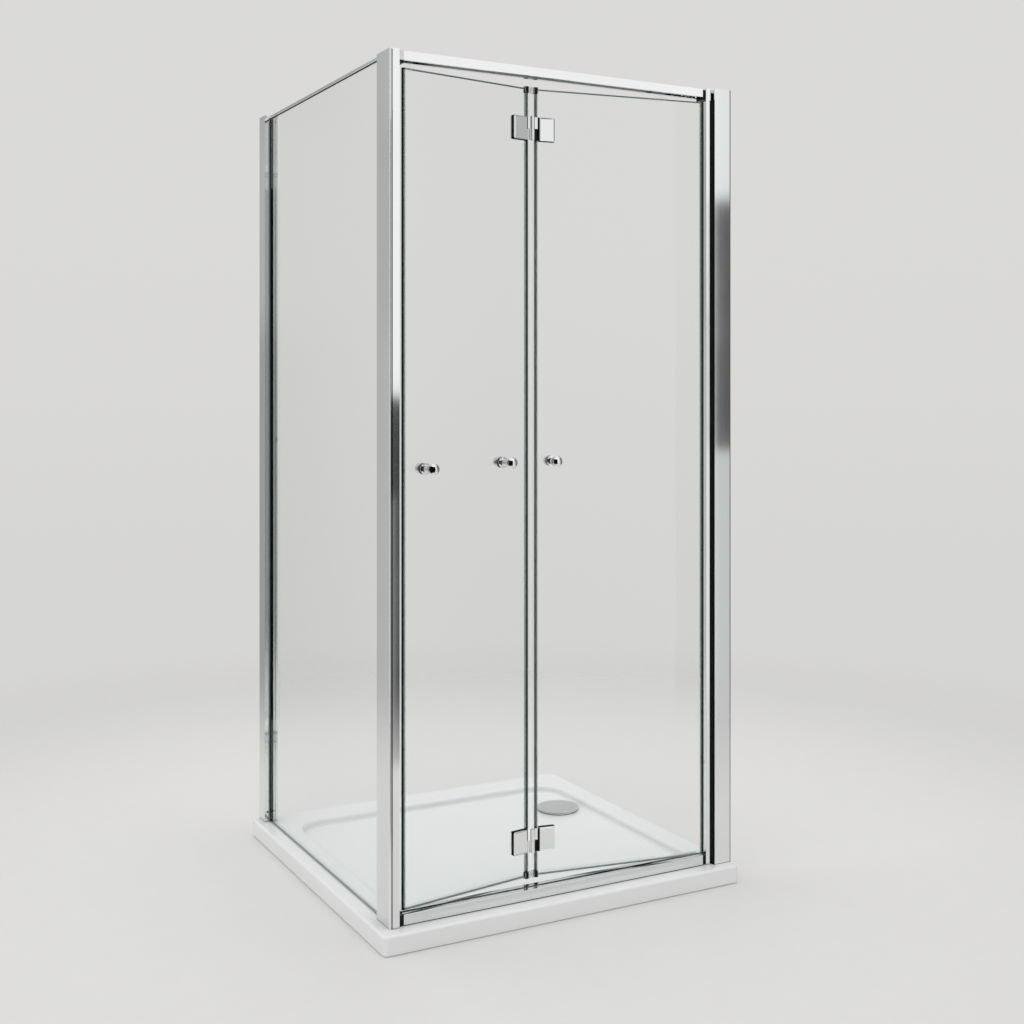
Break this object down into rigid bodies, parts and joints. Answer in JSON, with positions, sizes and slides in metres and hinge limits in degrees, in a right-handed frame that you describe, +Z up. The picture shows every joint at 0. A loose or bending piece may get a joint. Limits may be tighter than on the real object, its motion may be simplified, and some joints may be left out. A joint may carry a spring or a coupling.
{
  "type": "bifold shower enclosure",
  "caption": "Square shower tray with a corner post, a fixed glass side panel and a glass bifold door that folds into the cabin on a pivot, hinges and rail guides.",
  "frame": {"origin": "centre of the tray's underside, on the floor", "axes": "+X along the door from the corner post to the wall channel, +Y from the door into the cabin, +Z up"},
  "size_m": [0.9, 0.9, 1.877],
  "materials": {
    "white_acrylic": "smooth glossy white",
    "silver_profile": "polished bright anodised",
    "chrome_fitting": "polished",
    "clear_glass": "clear toughened glass with dark green edges",
    "clear_seal": "clear plastic",
    "black_rubber": "matt black",
    "black_plastic": "satin black"
  },
  "bodies": {
    "enclosure": {"shower_tray": "white_acrylic", "waste_seal": "black_rubber", "waste_flange": "chrome_fitting", "waste_cover": "chrome_fitting", "corner_post": "silver_profile", "post_cap": "silver_profile", "strike_strip": "black_rubber", "side_glass": "clear_glass", "side_top_trim": "silver_profile", "side_bottom_seal": "clear_seal", "side_post_gasket": "black_rubber", "side_channel": "silver_profile", "side_profile": "silver_profile", "side_profile_gasket": "black_rubber", "side_profile_screws": "black_plastic", "wall_channel": "silver_profile", "jamb_profile": "silver_profile", "jamb_gasket": "black_rubber", "jamb_screws": "chrome_fitting", "top_rail": "silver_profile", "top_track": "black_plastic", "top_rail_bracket": "silver_profile", "bottom_rail": "silver_profile", "sill_seal": "black_rubber", "bottom_rail_block": "black_plastic", "rail_plugs": "black_plastic", "top_pivot_block": "black_plastic", "bottom_pivot_block": "black_plastic"},
    "pivot_leaf": {"pivot_glass": "clear_glass", "pivot_edge_seal": "clear_seal", "pivot_fold_seal": "clear_seal", "pivot_drip_seal": "clear_seal", "pivot_corner_caps": "black_plastic", "pivot_top_shoe": "clear_seal", "pivot_bottom_shoe": "clear_seal", "pivot_hinge_plates": "chrome_fitting", "pivot_hinge_clamps": "chrome_fitting", "pivot_hinge_pads": "black_rubber", "pivot_hinge_screws": "chrome_fitting", "pivot_knob": "chrome_fitting", "pivot_knob_cap": "chrome_fitting", "pivot_knob_washers": "black_plastic"},
    "sliding_leaf": {"sliding_glass": "clear_glass", "closing_seal": "clear_seal", "sliding_fold_seal": "clear_seal", "sliding_drip_seal": "clear_seal", "sliding_corner_caps": "black_plastic", "guide_top_shoe": "clear_seal", "guide_bottom_shoe": "clear_seal", "sliding_hinge_plates": "chrome_fitting", "sliding_hinge_clamps": "chrome_fitting", "sliding_hinge_pads": "black_rubber", "sliding_hinge_screws": "chrome_fitting", "hinge_pins": "chrome_fitting", "closing_knob": "chrome_fitting", "sliding_knob": "chrome_fitting", "sliding_knob_caps": "chrome_fitting", "sliding_knob_washers": "black_plastic"},
    "top_slider": {"top_guide": "black_plastic"},
    "bottom_slider": {"bottom_guide": "black_plastic"}
  },
  "joints": [
    {"name": "door_pivot", "type": "hinge", "parent": "enclosure", "child": "pivot_leaf", "pos_m": [0.265, -0.396, 0.96], "axis": [0, 0, -1], "range_deg": [-9, 61]},
    {"name": "fold_hinge", "type": "hinge", "parent": "pivot_leaf", "child": "sliding_leaf", "pos_m": [-0.05292, -0.35577, 0.96], "axis": [0, 0, 1], "range_deg": [-18, 122]},
    {"name": "top_guide_turn", "type": "hinge", "parent": "sliding_leaf", "child": "top_slider", "pos_m": [-0.37084, -0.396, 1.865], "axis": [0, 0, -1], "range_deg": [-9, 61]},
    {"name": "bottom_guide_turn", "type": "hinge", "parent": "sliding_leaf", "child": "bottom_slider", "pos_m": [-0.37084, -0.396, 0.055], "axis": [0, 0, -1], "range_deg": [-9, 61]}
  ],
  "couplings": [
    {"joint": "fold_hinge", "follows": "door_pivot", "ratio": 2},
    {"joint": "top_guide_turn", "follows": "door_pivot", "ratio": 1},
    {"joint": "bottom_guide_turn", "follows": "door_pivot", "ratio": 1}
  ]
}
